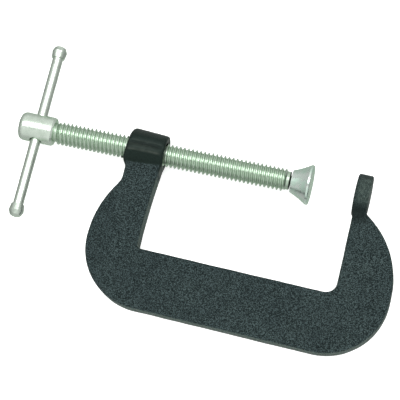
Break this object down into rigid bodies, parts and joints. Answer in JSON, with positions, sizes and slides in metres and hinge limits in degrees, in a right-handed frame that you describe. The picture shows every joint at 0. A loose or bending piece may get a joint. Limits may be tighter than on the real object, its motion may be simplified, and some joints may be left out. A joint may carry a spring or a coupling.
{
  "type": "c clamp",
  "caption": "Cast C-shaped screw clamp with a round anvil, a threaded spindle turned by a sliding T bar, and a flared swivel pad.",
  "frame": {"origin": "centre of the anvil face, on the spindle's axis", "axes": "+X along the spindle from the handle to the anvil, +Y in the plane of the C from the spine to the spindle, +Z through the thickness; the clamp lies on its side"},
  "size_m": [0.1354, 0.0856, 0.0144],
  "materials": {
    "casting": "charcoal enamel over a sand-cast surface",
    "spindle_zinc": "bright zinc plate on a rolled thread",
    "pad_zinc": "bright zinc plate, turned",
    "bar_zinc": "bright zinc plate on drawn rod",
    "ring_steel": "spring steel wire"
  },
  "bodies": {
    "frame": {"frame": "casting"},
    "ring": {"pad_retaining_ring": "ring_steel"},
    "spindle": {"spindle": "spindle_zinc"},
    "pad": {"swivel_pad": "pad_zinc"},
    "handle": {"handle_bar": "bar_zinc", "handle_cap_upper": "bar_zinc", "handle_cap_lower": "bar_zinc"}
  },
  "joints": [
    {"name": "spindle_feed", "type": "slide", "parent": "frame", "child": "ring", "axis": [1, 0, 0], "range_m": [-0.04233, 0.01411]},
    {"name": "spindle_turn", "type": "hinge", "parent": "ring", "child": "spindle", "pos_m": [-0.0186, 0, 0], "axis": [1, 0, 0], "range_deg": [-10800, 3600]},
    {"name": "pad_tilt", "type": "hinge", "parent": "ring", "child": "pad", "pos_m": [-0.0186, 0, 0], "axis": [0, 0, 1], "range_deg": [-7, 7]},
    {"name": "handle_slide", "type": "slide", "parent": "spindle", "child": "handle", "axis": [0, 0.9976, -0.0698], "range_m": [-0.0211, 0.0225]}
  ],
  "couplings": [
    {"joint": "spindle_turn", "follows": "spindle_feed", "rad_per_m": 4452.7}
  ]
}
